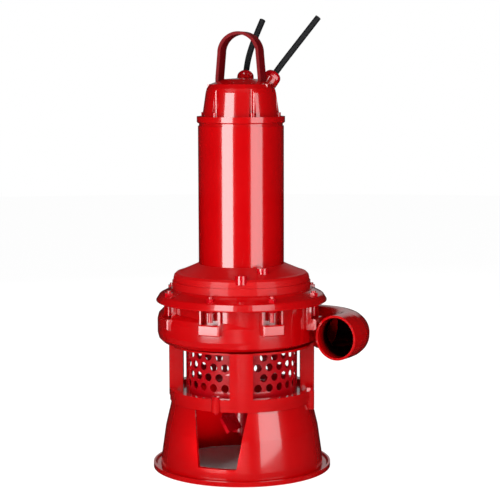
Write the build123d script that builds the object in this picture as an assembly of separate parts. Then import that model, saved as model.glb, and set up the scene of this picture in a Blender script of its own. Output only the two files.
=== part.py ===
from build123d import *
import math
import os

# Slurry pump on its own stand: agitator, caged strainer, volute casing, oil chamber, motor.
# Millimetres, +Z up. The origin is on the shaft axis at the floor, the front is -Y and the
# discharge elbow is on the +X side. A bearing is an angle counted from the front towards +X.

# Shared clearances and common sizes
seat_gap = 0.2
running_gap = 0.4
cut_over = 5
paint_edge = 2

# Stand: a flared skirt with a thin foot ring and a window
rim_ledge = 21
rim_plate = 7
rim_lip = 5
rim_lip_rise = 5
skirt_top_radius = 181
skirt_flare = 28
skirt_foot_height = 28
skirt_waist_share = 0.53
skirt_waist_bulge = 2.5
skirt_wall = 7
stand_height = 191
stand_flange = 14
stand_flange_reach = 5
window_bearing = -17.5
window_sill = 37
window_sill_width = 100
window_head_width = 139
window_corner = 4

# Lugs that bolt the cage to the stand
lug_bearings = (-20, 70, 160, 250)
lug_offset = 4
lug_radius = 12
lug_drop = 30
cage_screw = 10
cage_screw_head = 17
cage_screw_head_height = 7
cage_screw_depth = 20

# Suction cage: lower ring, four straps, upper ring
cage_reach = 7
cage_ring_height = 18
cage_ring_width = 17
cage_ledge_width = 36
cage_ledge = 6
strap_bearings = (0, 90, 180, 270)
strap_width = 58
strap_depth = 34
cage_height = 134
cage_top_ring = 5
cage_top_inset = 7
cage_top_clearance = 1

# Strainer screen
screen_radius = 144
screen_wall = 4
screen_hole = 21
screen_hole_rows = 4
screen_holes_per_row = 28
screen_row_pitch = 24
screen_first_row = 31

# Suction plate with its eye
suction_plate = 8
suction_plate_radius = 151
suction_spigot = 12
suction_spigot_radius = 148
suction_eye = 62
suction_eye_flare = 8

# Volute casing: a drum with an eccentric scroll and eight stud bosses
drum_inset = 29
drum_rise = 10
drum_height = 103
drum_edge = 2
scroll_reach = 15
scroll_shift = 18
scroll_shift_bearing = 225
scroll_height = 89
scroll_corner = 27
round_steps = 3
casing_wall = 12
chamber_rise = 12
chamber_height = 65
boss_count = 8
boss_first_bearing = 22.5
boss_inset = 5
boss_width = 56
boss_height = 67
boss_corner = 3
pocket_height = 39
pocket_width = 48
pocket_depth = 15
cheek_inset = 17
stud_inset = 21
stud_size = 12
nut_across = 19
nut_height = 10
stud_proud = 5

# Outlet branch and discharge elbow
pipe_radius = 57.15
pipe_wall = 6
outlet_rise = 30
outlet_offset = 155
outlet_heading = 33
throat_length = 100
branch_round_from = 145
branch_length = 168
elbow_bend = 100
elbow_turn = 90
elbow_steps = 8
elbow_straight = 35
branch_clearance = 2

# Casing cover: a plate with a thick rim that slopes up to a collar round the oil chamber
gasket = 1
cover_radius = 219
cover_plate = 14
cover_rim = 12
cover_collar_wall = 2
cover_collar_rise = 15
nut_seat = 26
cover_spigot_radius = 149.5
cover_spigot = 35
cover_bore = 40
oil_space_radius = 70
cover_web = 16

# Oil chamber, the domed shoulder above the cover
shoulder_inset = 41
shoulder_band = 33
shoulder_step = 8
shoulder_step_out = 3
shoulder_round = 15
shoulder_neck_radius = 122
shoulder_neck_height = 72
shoulder_height = 77
shoulder_wall = 12
tube_socket = 14
web_rise = 31
web_height = 16
shoulder_screw_bearings = (0, 180)
shoulder_screw_inset = 13
shoulder_screw_head = 30
shoulder_screw_head_height = 22
shoulder_screw_shank = 16
shoulder_screw_rise = 43
plug_bearing = 24
plug_place_share = 0.16
plug_head = 30
plug_thread = 20
plug_proud = 1
plug_depth = 24
plug_socket = 12

# Motor tube
tube_radius = 109.55
tube_wall = 8
tube_height = 352

# Upper bearing bracket
bracket_flange = 7
bracket_flange_radius = 107
bracket_spigot = 22
bracket_boss = 12

# Cap
cap_rim_radius = 112.5
cap_rim = 17
cap_rim_bevel = 3
cap_foot_radius = 98.5
cap_brow_radius = 89.5
cap_brow_rise = 60
cap_round_radius = 80
cap_round_rise = 81
cap_crown_radius = 45
cap_crown_rise = 94
cap_height = 97
cap_wall = 11
cap_screw_count = 6
cap_screw_first_bearing = -42
cap_screw_circle = 96
cap_screw = 10
cap_screw_head = 15
cap_screw_head_height = 10
cap_screw_depth = 30
cap_pocket = 18

# Lifting handle: a bent flat bar let into two flats on the cap
handle_bearing = 71.5
handle_span = 121
handle_crown_span = 110
handle_bar = 8
handle_width = 46
handle_rise = 117
handle_foot_rise = 56
handle_seat_gap = 0.2
handle_screw = 12
handle_screw_head = 19
handle_screw_head_height = 8
handle_screw_rise = 12
handle_screw_seat = 74
handle_screw_recess = 24

# Cable glands, tilted outwards on the cap's shoulder
gland_bearings = (109, 172)
gland_tilt = 37
gland_brim_circle = 90.2
gland_brim_rise = 8
gland_base_radius = 20
gland_base_sink = 46
gland_nut_across = 42
gland_nut_corner = 22.7
gland_nut = 14
gland_body = 12
grommet = 12
grommet_radius = 13
cable_diameter = 16
cable_bend_share = 0.45
power_cable_route = (
    (77.3, 26.7, -3.2), (105.8, 36.5, 36.8), (135.5, 46.7, 77),
    (165.9, 57.2, 116.6), (196.7, 67.8, 155.4),
)
control_cable_route = (
    (11.4, 81, -3.2), (15.1, 107.2, 32.3), (25.3, 129.8, 69.7),
    (40.8, 149.2, 109.4), (60, 165.5, 150),
)

# Shaft and what turns with it
shaft_end_inset = 8
shaft_stub_radius = 16
impeller_seat_radius = 19
impeller_seat_rise = 13
impeller_seat_length = 54
seal_journal_radius = 24
lower_bearing_journal_radius = 27.5
shaft_shoulder_radius = 33
shaft_shoulder = 12
core_seat_radius = 30
upper_bearing_journal_radius = 20
shaft_end = 12

# Bearings
lower_bearing_radius = 60
lower_bearing_width = 29
lower_bearing_rise = 5
upper_bearing_radius = 45
upper_bearing_width = 23
upper_bearing_drop = 24
bearing_race = 8
ball_cage_inset = 4

# Mechanical seals in the oil chamber
seal_face_radius = 34
seal_face = 9
seal_face_sink = 4
seal_sleeve_radius = 31

# Motor
stator_rise = 102
stator_height = 200
stator_wall = 38
winding_overhang = 30
winding_inset = 6
air_gap = 1
rotor_ring = 10
rotor_ring_inset = 4

# Impeller
impeller_radius = 128
impeller_shroud = 8
impeller_rise = 19
impeller_height = 46
impeller_hub_radius = 34
vane_count = 5
vane_thickness = 9
vane_sweep = 75
vane_bow_share = 0.62
vane_lean = 22
key_width = 8
key_height = 5

# Agitator
agitator_radius = 90
agitator_drop = 101
agitator_hub_height = 62
agitator_hub_radius = 30
agitator_hub_top_radius = 23
blade_count = 3
blade_height = 44
blade_thickness = 9
blade_pitch = 32
agitator_screw_head = 30
agitator_screw_hex = 18
agitator_screw_head_height = 10
agitator_screw = 12
agitator_screw_depth = 30
agitator_washer = 3

# Radii that follow from the sizes above
skirt_foot_radius = skirt_top_radius + skirt_flare
rim_radius = skirt_foot_radius + rim_ledge
stand_flange_radius = skirt_top_radius + stand_flange_reach
lug_circle = skirt_top_radius + lug_offset
cage_radius = skirt_top_radius + cage_reach
cage_top_radius = cage_radius - cage_top_inset
cage_top_bore = suction_plate_radius + cage_top_clearance
drum_radius = cover_radius - drum_inset
scroll_radius = drum_radius + scroll_reach
boss_face = cover_radius - boss_inset
cheek_face = cover_radius - cheek_inset
stud_circle = cover_radius - stud_inset
pocket_back = stud_circle - pocket_depth
shoulder_radius = cover_radius - shoulder_inset
cover_collar_radius = shoulder_radius + cover_collar_wall
shoulder_screw_circle = shoulder_radius - shoulder_screw_inset
plug_circle = shoulder_neck_radius + (shoulder_radius - shoulder_neck_radius) * plug_place_share
tube_bore = tube_radius - tube_wall
stator_bore = tube_bore - stator_wall
rotor_radius = stator_bore - air_gap

# Heights that follow from the sizes above, from the floor upwards
agitator_bottom = stand_height - agitator_drop
agitator_top = agitator_bottom + agitator_hub_height
shaft_bottom = agitator_bottom + shaft_end_inset
strainer_seat = stand_height + cage_ledge
cage_top = stand_height + cage_height
suction_face = cage_top - suction_plate
outlet_height = cage_top + outlet_rise
scroll_top = cage_top + scroll_height
chamber_floor = cage_top + chamber_rise
chamber_top = chamber_floor + chamber_height
impeller_seat_bottom = cage_top + impeller_seat_rise
impeller_seat_top = impeller_seat_bottom + impeller_seat_length
impeller_bottom = cage_top + impeller_rise
impeller_top = impeller_bottom + impeller_height
drum_bottom = cage_top + drum_rise
drum_top = drum_bottom + drum_height
boss_bottom = drum_top - boss_height
pocket_sill = drum_top - pocket_height
cover_bottom = drum_top + gasket
cover_top = cover_bottom + cover_plate
cover_spigot_bottom = cover_bottom - cover_spigot
web_top = cover_top + web_rise
web_bottom = web_top - web_height
shoulder_top = cover_top + shoulder_height
shoulder_screw_seat = cover_top + shoulder_screw_rise
plug_top = shoulder_top + plug_proud
lower_bearing_bottom = web_top + lower_bearing_rise
lower_bearing_top = lower_bearing_bottom + lower_bearing_width
tube_bottom = shoulder_top - tube_socket
tube_top = shoulder_top + tube_height
stator_bottom = tube_bottom + stator_rise
stator_top = stator_bottom + stator_height
upper_bearing_bottom = tube_top - upper_bearing_drop
upper_bearing_top = upper_bearing_bottom + upper_bearing_width
shaft_top = upper_bearing_top + shaft_end
bracket_top = tube_top + bracket_flange
cap_rim_top = bracket_top + cap_rim
cap_brow_height = cap_rim_top + cap_brow_rise
cap_round_height = cap_rim_top + cap_round_rise
cap_crown_height = cap_rim_top + cap_crown_rise
cap_top = cap_rim_top + cap_height
handle_foot = cap_rim_top + handle_foot_rise
handle_screw_height = handle_foot + handle_screw_rise
handle_top = cap_top + handle_rise
gland_brim_height = cap_top + gland_brim_rise


def at(radius, bearing, height=0):
    """A place at a radius and bearing, bearings counted from the front towards +X."""
    turn = math.radians(bearing)
    return Vector(radius * math.sin(turn), -radius * math.cos(turn), height)


def outward(radius, bearing, height=0):
    """A frame at that place with its X axis pointing away from the shaft."""
    return Location(at(radius, bearing, height), (0, 0, bearing - 90))


def rod(radius, bottom, top):
    """A round bar on the shaft axis between two heights."""
    return Pos(0, 0, (bottom + top) / 2) * Cylinder(radius, top - bottom)


def ring(outer, inner, bottom, top):
    """A plain ring on the shaft axis."""
    bore = Pos(0, 0, (bottom + top) / 2) * Cylinder(inner, top - bottom + 2 * cut_over)
    return rod(outer, bottom, top) - bore


def turned(outline):
    """A solid turned about the shaft axis from an outline of radii and heights."""
    return revolve(Plane.XZ * make_face(outline), Axis.Z)


def outline(*corners):
    """A closed outline through corners given as radius and height."""
    return Polyline(*corners, close=True)


def block(depth, width, bottom, top):
    """A box from X = 0 outwards, centred across, between two heights."""
    return Pos(depth / 2, 0, (bottom + top) / 2) * Box(depth, width, top - bottom)


def hex_head(across, height, at_height=0):
    """A hexagon head or nut standing on a height, in its own frame."""
    face = RegularPolygon(across / 2, 6, major_radius=False)
    return Pos(0, 0, at_height) * extrude(face, height)


def peg(radius, bottom, top):
    """A round bar on the Z axis of a frame of its own."""
    return Pos(0, 0, (bottom + top) / 2) * Cylinder(radius, top - bottom)


def stand():
    """Cast skirt with a foot ring, an upturned lip, a top flange, lugs and a window."""
    flange_bottom = stand_height - stand_flange
    waist = skirt_foot_height + (flange_bottom - skirt_foot_height) * skirt_waist_share
    waist_radius = (skirt_top_radius + skirt_foot_radius) / 2 + skirt_waist_bulge
    foot_bore = skirt_foot_radius - skirt_wall
    body = turned(outline(
        (foot_bore, 0), (rim_radius, 0), (rim_radius, rim_plate + rim_lip_rise),
        (rim_radius - rim_lip, rim_plate + rim_lip_rise),
        (rim_radius - 2 * rim_lip, rim_plate), (skirt_foot_radius + paint_edge, rim_plate),
        (skirt_foot_radius, skirt_foot_height), (waist_radius, waist),
        (skirt_top_radius, flange_bottom), (stand_flange_radius, flange_bottom),
        (stand_flange_radius, stand_height), (skirt_top_radius - skirt_wall, stand_height),
        (skirt_top_radius - skirt_wall, flange_bottom),
    ))
    thread = peg(cage_screw / 2, stand_height - cage_screw_depth, stand_height + cut_over)
    for bearing in lug_bearings:
        body += stand_lug(bearing)
        body -= outward(lug_circle, bearing) * thread
    return body - window_cutter()


def stand_lug(bearing):
    """A round boss on the skirt that takes one cage screw."""
    boss = peg(lug_radius, stand_height - lug_drop, stand_height)
    inside = rod(skirt_top_radius - skirt_wall, 0, stand_height + cut_over)
    return outward(lug_circle, bearing) * boss - inside


def window_cutter():
    """The window: a trapezoid, wider at its head, cut through one side of the skirt."""
    head = stand_height - stand_flange
    face = make_face(Polyline(
        (-window_sill_width / 2, window_sill), (window_sill_width / 2, window_sill),
        (window_head_width / 2, head), (-window_head_width / 2, head), close=True,
    ))
    face = fillet(face.vertices(), window_corner)
    return Rot(0, 0, window_bearing) * extrude(Plane.XZ * face, rim_radius)


def cage_screws():
    """Hexagon screws that clamp the cage's lower ring to the stand."""
    seat = stand_height + cage_ring_height
    screw = peg(cage_screw / 2 - seat_gap, stand_height - cage_screw_depth, seat)
    screw += hex_head(cage_screw_head, cage_screw_head_height, seat)
    return Compound([outward(lug_circle, bearing) * screw for bearing in lug_bearings])


def cage():
    """Lower ring with an inner ledge, four straps and an upper ring, cast in one."""
    ring_top = stand_height + cage_ring_height
    ledge_bore = cage_radius - cage_ring_width - cage_ledge_width
    body = turned(outline(
        (ledge_bore, stand_height), (cage_radius, stand_height), (cage_radius, ring_top),
        (cage_radius - cage_ring_width, ring_top), (cage_radius - cage_ring_width, strainer_seat),
        (ledge_bore, strainer_seat),
    ))
    body += ring(cage_top_radius, cage_top_bore, cage_top - cage_top_ring, cage_top)
    strap = block(cage_radius, strap_width, stand_height, cage_top)
    straps = Part() + [Rot(0, 0, bearing - 90) * strap for bearing in strap_bearings]
    straps &= ring(cage_radius, cage_radius - strap_depth, stand_height, cage_top)
    body += straps
    boss = peg(lug_radius, stand_height, ring_top)
    for bearing in lug_bearings:
        body += outward(lug_circle, bearing) * boss
    for bearing in lug_bearings:
        body -= outward(lug_circle, bearing) * peg(cage_screw / 2, 0, ring_top + cut_over)
    return body - branch_room()


def branch_room():
    """The space that the outlet branch passes through above the cage."""
    room = Cylinder(pipe_radius + branch_clearance, branch_length - throat_length)
    lie = Plane(branch_point(throat_length), z_dir=branch_direction())
    return lie * Pos(0, 0, (branch_length - throat_length) / 2) * room


def strainer():
    """A perforated sheet rolled into a cylinder. Its holes are drawn with six sides."""
    body = ring(screen_radius, screen_radius - screen_wall, strainer_seat, suction_face)
    punch = Rot(0, 90, 0) * extrude(RegularPolygon(screen_hole / 2, 6), screen_radius + cut_over)
    step = 360 / screen_holes_per_row
    holes = []
    for row in range(screen_hole_rows):
        height = strainer_seat + screen_first_row + row * screen_row_pitch
        for place in range(screen_holes_per_row):
            turn = (place + (row % 2) / 2) * step
            holes.append(Pos(0, 0, height) * Rot(0, 0, turn) * punch)
    hollow = rod(screen_radius - 2 * screen_wall, strainer_seat, suction_face)
    return body - [hole - hollow for hole in holes]


def suction_cover():
    """Wear plate under the impeller, with a spigot in the casing and a flared eye."""
    return turned(outline(
        (suction_eye + suction_eye_flare, suction_face), (suction_plate_radius, suction_face),
        (suction_plate_radius, cage_top), (suction_spigot_radius, cage_top),
        (suction_spigot_radius, cage_top + suction_spigot), (suction_eye, cage_top + suction_spigot),
        (suction_eye, cage_top),
    ))


def branch_direction():
    """Which way the outlet branch leaves the casing."""
    turn = math.radians(outlet_heading)
    return Vector(math.cos(turn), -math.sin(turn), 0)


def branch_point(along):
    """A point on the branch's centreline, measured from beside the shaft."""
    turn = math.radians(outlet_heading)
    foot = Vector(outlet_offset * math.sin(turn), outlet_offset * math.cos(turn), outlet_height)
    return foot + branch_direction() * along


def branch_frame(along):
    """A plane across the branch: its X axis points outwards and its Y axis up."""
    turn = math.radians(outlet_heading)
    across = Vector(math.sin(turn), math.cos(turn), 0)
    return Plane(branch_point(along), x_dir=across, z_dir=branch_direction())


def branch(clear):
    """The outlet branch, from the scroll's squarish throat to the round pipe."""
    throat_height = scroll_top - cage_top - 2 * clear
    throat_middle = (scroll_top + cage_top) / 2 - outlet_height
    round_radius = pipe_radius - clear
    throat = RectangleRounded(2 * round_radius, throat_height, scroll_corner - clear / 2)
    throat = Pos(0, throat_middle) * throat
    pipe = Circle(round_radius)
    straight = extrude(branch_frame(0) * throat, throat_length)
    reach = loft([branch_frame(throat_length) * throat, branch_frame(branch_round_from) * pipe])
    spout = extrude(branch_frame(branch_round_from) * pipe, branch_length - branch_round_from)
    return straight + reach + spout


def rounded_corner(radius, height, corner, rise):
    """Points of a quarter round that ends at a radius and height; rise is 1 or -1."""
    points = []
    for step in range(round_steps + 1):
        turn = math.radians(90 * step / round_steps)
        points.append((radius - corner * (1 - math.cos(turn)), height + rise * corner * math.sin(turn)))
    return points


def scroll(inset, bottom, top):
    """The eccentric scroll disc with rounded edges, inset from the casing's outside."""
    centre = at(scroll_shift, scroll_shift_bearing)
    radius = scroll_radius - inset
    corner = scroll_corner - inset
    lower = rounded_corner(radius, bottom + corner, corner, -1)
    upper = rounded_corner(radius, top - corner, corner, 1)
    disc = turned(outline((0, bottom), *reversed(lower), *upper, (0, top)))
    return Pos(centre.X, centre.Y, 0) * disc


def boss(number):
    """One stud boss: a flat-faced block with an open nut pocket in its upper half."""
    body = block(boss_face, boss_width, boss_bottom, pocket_sill)
    body = chamfer(body.faces().sort_by(Axis.X)[-1].edges(), boss_corner)
    body += block(cheek_face, boss_width, pocket_sill - boss_corner, drum_top)
    pocket = Pos(pocket_back, 0, 0) * block(boss_face, pocket_width, pocket_sill, drum_top)
    stud = Pos(stud_circle, 0, 0) * peg(stud_size / 2, pocket_sill, drum_top + cut_over)
    turn = Rot(0, 0, boss_bearing(number) - 90)
    return turn * body, turn * pocket, turn * stud


def boss_bearing(number):
    """The bearing of a stud boss."""
    return boss_first_bearing + number * 360 / boss_count


def casing():
    """Volute casing: drum, eccentric scroll, eight bosses and the outlet branch."""
    outside = scroll(0, cage_top, scroll_top)
    drum = rod(drum_radius, drum_bottom, drum_top)
    drum = chamfer(drum.edges().group_by(Axis.Z)[0], drum_edge)
    body = outside + drum + branch(0)
    pockets = []
    for number in range(boss_count):
        block_body, pocket, stud = boss(number)
        body += block_body
        pockets += [pocket, stud]
    body -= scroll(casing_wall, chamber_floor, chamber_top)
    body -= rod(suction_spigot_radius + seat_gap, cage_top - cut_over, chamber_floor + cut_over)
    body -= rod(cover_spigot_radius + seat_gap, chamber_top - cut_over, drum_top + cut_over)
    body -= branch(pipe_wall)
    return body - pockets


def elbow():
    """Pipe bend on the end of the branch, in short lengths that turn through a quarter."""
    start = branch_point(branch_length)
    turn = math.radians(outlet_heading)
    inward = Vector(-math.sin(turn), -math.cos(turn), 0)
    centre = start + inward * elbow_bend
    stations = []
    for step in range(elbow_steps + 1):
        bent = math.radians(elbow_turn * step / elbow_steps)
        out = branch_direction() * math.sin(bent) - inward * math.cos(bent)
        along = branch_direction() * math.cos(bent) + inward * math.sin(bent)
        stations.append(Plane(centre + out * elbow_bend, x_dir=out, z_dir=along))
    end = stations[-1]
    bend = loft([station * Circle(pipe_radius) for station in stations], ruled=True)
    bend += extrude(end * Circle(pipe_radius), elbow_straight)
    bore = loft([station * Circle(pipe_radius - pipe_wall) for station in stations], ruled=True)
    bore += extrude(end * Circle(pipe_radius - pipe_wall), elbow_straight)
    return bend - bore


def casing_seal():
    """Flat gasket between the casing and its cover."""
    return ring(drum_radius, cover_spigot_radius + seat_gap, drum_top, cover_bottom)


def cover():
    """Cover plate with a sloping rim; its spigot closes the pump chamber from above."""
    seat_radius = shoulder_radius + seat_gap
    body = turned(outline(
        (cover_bore, cover_spigot_bottom), (cover_spigot_radius, cover_spigot_bottom),
        (cover_spigot_radius, cover_bottom), (cover_radius, cover_bottom),
        (cover_radius, cover_bottom + cover_rim), (cover_collar_radius, cover_top + cover_collar_rise),
        (seat_radius, cover_top + cover_collar_rise), (seat_radius, cover_top),
        (oil_space_radius, cover_top), (oil_space_radius, cover_spigot_bottom + cover_web),
        (cover_bore, cover_spigot_bottom + cover_web),
    ))
    hole = peg(stud_size / 2, cover_spigot_bottom, cover_top)
    hole += peg(nut_seat / 2, cover_top, cover_top + cover_collar_rise + cut_over)
    for number in range(boss_count):
        body -= outward(stud_circle, boss_bearing(number)) * hole
    return body


def casing_studs():
    """Eight studs through the cover's rim into the nut pockets."""
    stud = peg(stud_size / 2 - seat_gap, pocket_sill + stud_proud, cover_top + nut_height + stud_proud)
    return Compound([outward(stud_circle, boss_bearing(n)) * stud for n in range(boss_count)])


def casing_nuts():
    """Nuts on both ends of the eight studs."""
    hole = peg(stud_size / 2, 0, drum_top + cover_top)
    upper = hex_head(nut_across, nut_height, cover_top) - hole
    lower = hex_head(nut_across, nut_height, drum_top - nut_height) - hole
    nuts = []
    for number in range(boss_count):
        place = outward(stud_circle, boss_bearing(number))
        nuts += [place * upper, place * lower]
    return Compound(nuts)


def oil_chamber():
    """Domed shoulder: a band, a stepped rounded edge, a dome and a socket for the tube."""
    band_top = cover_top + shoulder_band
    step_top = band_top + shoulder_step
    neck = cover_top + shoulder_neck_height
    inner = shoulder_radius - shoulder_wall
    outer = [
        (inner, cover_top), (shoulder_radius, cover_top), (shoulder_radius, band_top),
        (shoulder_radius - shoulder_step_out, band_top),
    ]
    edge = rounded_corner(shoulder_radius - shoulder_step_out, step_top, shoulder_round, 1)
    socket = tube_radius + seat_gap
    lower = web_bottom
    body = turned(outline(
        *outer, *edge, (shoulder_neck_radius, neck), (socket + paint_edge, shoulder_top),
        (socket, shoulder_top), (socket, tube_bottom), (lower_bearing_radius, tube_bottom),
        (lower_bearing_radius, lower_bearing_bottom), (seal_face_radius + seal_face, lower_bearing_bottom),
        (seal_face_radius + seal_face, lower), (lower_bearing_radius + shoulder_wall, lower),
        (lower_bearing_radius + shoulder_wall, web_top), (inner, web_top),
    ))
    for bearing in shoulder_screw_bearings:
        body -= outward(shoulder_screw_circle, bearing) * shoulder_notch()
    seat = peg(plug_head / 2 + seat_gap, plug_top - plug_head / 2, shoulder_top)
    seat += peg(plug_thread / 2, web_top, shoulder_top)
    return body - outward(plug_circle, plug_bearing) * seat


def shoulder_notch():
    """The slot in the dome's edge that a shoulder screw sits in."""
    head = peg(shoulder_screw_head / 2 + seat_gap, shoulder_screw_seat, shoulder_top)
    return head + peg(shoulder_screw_shank / 2 + seat_gap, cover_top, shoulder_top)


def shoulder_screws():
    """Two large round-headed screws that hold the shoulder to the cover."""
    screw = peg(shoulder_screw_shank / 2, cover_top, shoulder_screw_seat)
    screw += peg(
        shoulder_screw_head / 2, shoulder_screw_seat, shoulder_screw_seat + shoulder_screw_head_height
    )
    places = [outward(shoulder_screw_circle, bearing) for bearing in shoulder_screw_bearings]
    return Compound([place * screw for place in places])


def oil_plug():
    """Oil filler plug with a hexagon socket."""
    head_bottom = plug_top - plug_head / 2
    plug = peg(plug_head / 2, head_bottom, plug_top)
    plug += peg(plug_thread / 2 - seat_gap, head_bottom - plug_depth / 2, head_bottom)
    socket = RegularPolygon(plug_socket / 2, 6, major_radius=False)
    plug -= Pos(0, 0, plug_top) * extrude(socket, -plug_socket / 2)
    return outward(plug_circle, plug_bearing) * plug


def motor_tube():
    """Smooth steel tube that holds the stator."""
    return ring(tube_radius, tube_bore, tube_bottom, tube_top)


def bracket():
    """Upper bearing bracket, clamped between the tube and the cap."""
    spigot = tube_bore - seat_gap
    boss_radius = upper_bearing_radius + bracket_boss
    web_bottom_height = tube_top - bracket_spigot
    body = turned(outline(
        (upper_bearing_radius, upper_bearing_bottom), (boss_radius, upper_bearing_bottom),
        (boss_radius, web_bottom_height), (spigot, web_bottom_height),
        (spigot, tube_top), (bracket_flange_radius, tube_top), (bracket_flange_radius, bracket_top),
        (upper_bearing_journal_radius + bearing_race, bracket_top),
        (upper_bearing_journal_radius + bearing_race, upper_bearing_top),
        (upper_bearing_radius, upper_bearing_top),
    ))
    for place in cap_screw_places():
        body -= place * peg(cap_screw / 2, web_bottom_height, bracket_top + cut_over)
    return body


def cap_screw_places():
    """Where the cap's screws stand."""
    step = 360 / cap_screw_count
    return [outward(cap_screw_circle, cap_screw_first_bearing + n * step) for n in range(cap_screw_count)]


def cap():
    """Tapered cap with a bolting rim, six screw pockets, handle flats and gland bosses."""
    inner_top = cap_round_height - cap_wall
    body = turned(outline(
        (0, cap_top), (0, inner_top), (cap_round_radius - cap_wall, inner_top),
        (cap_foot_radius - cap_wall, bracket_top),
        (cap_rim_radius - cap_rim_bevel, bracket_top), (cap_rim_radius, bracket_top + cap_rim_bevel),
        (cap_rim_radius, cap_rim_top),
        (cap_foot_radius, cap_rim_top), (cap_brow_radius, cap_brow_height),
        ((cap_brow_radius + cap_round_radius) / 2 + paint_edge, (cap_brow_height + cap_round_height) / 2),
        (cap_round_radius, cap_round_height), (cap_crown_radius, cap_crown_height),
    ))
    for bearing in gland_bearings:
        body += gland_frame(bearing) * peg(gland_base_radius, -gland_base_sink, -gland_nut - gland_body)
    body += handle_block() & rod(cap_brow_radius, handle_foot - 2 * handle_bar, cap_round_height)
    body -= handle_slots()
    for place in cap_screw_places():
        body -= place * peg(cap_pocket / 2, cap_rim_top, cap_top + cut_over)
        body -= place * peg(cap_screw / 2, bracket_top - cut_over, cap_top)
    gland_seat = -gland_nut - gland_body
    for bearing in gland_bearings:
        body -= gland_frame(bearing) * peg(gland_nut_corner + seat_gap, gland_seat, 0)
        body -= gland_frame(bearing) * peg(cable_diameter / 2 + seat_gap, -2 * gland_base_sink, 0)
    return body


def handle_block():
    """Solid metal left inside the cap round each handle foot."""
    inside = handle_span / 2 - handle_bar - cap_wall
    pad = Pos(inside, 0, 0) * block(cap_round_radius - inside, handle_width + cap_wall, 0, cap_top)
    turn = Rot(0, 0, handle_bearing - 90)
    return turn * (pad + Rot(0, 0, 180) * pad)


def handle_slots():
    """The two slots in the cap that the handle's feet stand in, and their screw holes."""
    face = handle_span / 2 - handle_bar - handle_seat_gap
    width = handle_width + 2 * handle_seat_gap
    slot = Pos(face, 0, 0) * block(handle_bar + 2 * handle_seat_gap, width, handle_foot, cap_top)
    level = Pos(0, 0, handle_screw_height) * Rot(0, 90, 0)
    slot += level * peg(handle_screw / 2, face - cap_wall / 2, cap_brow_radius)
    slot += level * peg(handle_screw_recess / 2, handle_screw_seat, cap_rim_radius)
    turn = Rot(0, 0, handle_bearing - 90)
    return turn * (slot + Rot(0, 0, 180) * slot)


def lifting_handle():
    """Flat bar bent into an arch that narrows upwards, with a screw hole near each end."""
    face = Polyline(*handle_side(handle_span / 2, handle_crown_span / 2, 1))
    face += ThreePointArc(*handle_arch(handle_crown_span / 2, 1))
    face += Polyline(*reversed(handle_side(handle_span / 2, handle_crown_span / 2, -1)))
    inner = handle_span / 2 - handle_bar
    inner_crown = handle_crown_span / 2 - handle_bar
    face += Line((-handle_span / 2, handle_foot), (-inner, handle_foot))
    face += Polyline(*handle_side(inner, inner_crown, -1))
    face += ThreePointArc(*handle_arch(inner_crown, -1))
    face += Polyline(*reversed(handle_side(inner, inner_crown, 1)))
    face += Line((inner, handle_foot), (handle_span / 2, handle_foot))
    bar = extrude(Plane.XZ * make_face(face), handle_width / 2, both=True)
    hole = Pos(0, 0, handle_screw_height) * Rot(0, 90, 0)
    hole *= Cylinder(handle_screw / 2, handle_span + cut_over)
    return Rot(0, 0, handle_bearing - 90) * (bar - hole)


def handle_side(foot_reach, crown_reach, side):
    """One leg's edge from its foot to the arch; side is 1 or -1."""
    crown = handle_top - handle_crown_span / 2
    return [(side * foot_reach, handle_foot), (side * foot_reach, cap_top), (side * crown_reach, crown)]


def handle_arch(reach, side):
    """Three points of an arch over the legs, from the given side to the other."""
    crown = handle_top - handle_crown_span / 2
    return [(side * reach, crown), (0, crown + reach), (-side * reach, crown)]


def handle_screws():
    """One screw through each handle foot, its head in a recess in the cap's side."""
    screw = peg(handle_screw / 2 - seat_gap, handle_span / 2 - handle_bar - cap_wall / 2, handle_screw_seat)
    screw += hex_head(handle_screw_head, handle_screw_head_height, handle_screw_seat)
    screw = Pos(0, 0, handle_screw_height) * Rot(0, 90, 0) * screw
    turn = Rot(0, 0, handle_bearing - 90)
    return Compound([turn * screw, turn * Rot(0, 0, 180) * screw])


def cap_screws():
    """Socket-head screws in the cap's six pockets."""
    screw = peg(cap_screw / 2 - seat_gap, cap_rim_top - cap_screw_depth, cap_rim_top)
    screw += peg(cap_screw_head / 2, cap_rim_top, cap_rim_top + cap_screw_head_height)
    return Compound([place * screw for place in cap_screw_places()])


def gland_frame(bearing):
    """A frame at the middle of a gland's outer face, with Z along the cable."""
    return outward(gland_brim_circle, bearing, gland_brim_height) * Rot(0, gland_tilt, 0)


def gland_bodies():
    """Round gland bodies screwed onto their bosses, hollow for the grommets."""
    top = -gland_nut
    body = peg(gland_base_radius + paint_edge, top - gland_body, top)
    body -= peg(grommet_radius + seat_gap, top - gland_body, top)
    return Compound([gland_frame(bearing) * body for bearing in gland_bearings])


def gland_nuts():
    """Round-cornered nuts that squeeze the grommets onto the cables."""
    nut = hex_head(gland_nut_across, gland_nut, -gland_nut) & peg(gland_nut_corner, -gland_nut, 0)
    nut -= peg(cable_diameter / 2 + seat_gap, -gland_nut - cut_over, cut_over)
    return Compound([gland_frame(bearing) * nut for bearing in gland_bearings])


def gland_grommets():
    """Rubber grommets around the cables."""
    top = -gland_nut
    body = peg(grommet_radius, top - grommet, top)
    body -= peg(cable_diameter / 2 + seat_gap, top - grommet - cut_over, top + cut_over)
    return Compound([gland_frame(bearing) * body for bearing in gland_bearings])


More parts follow.
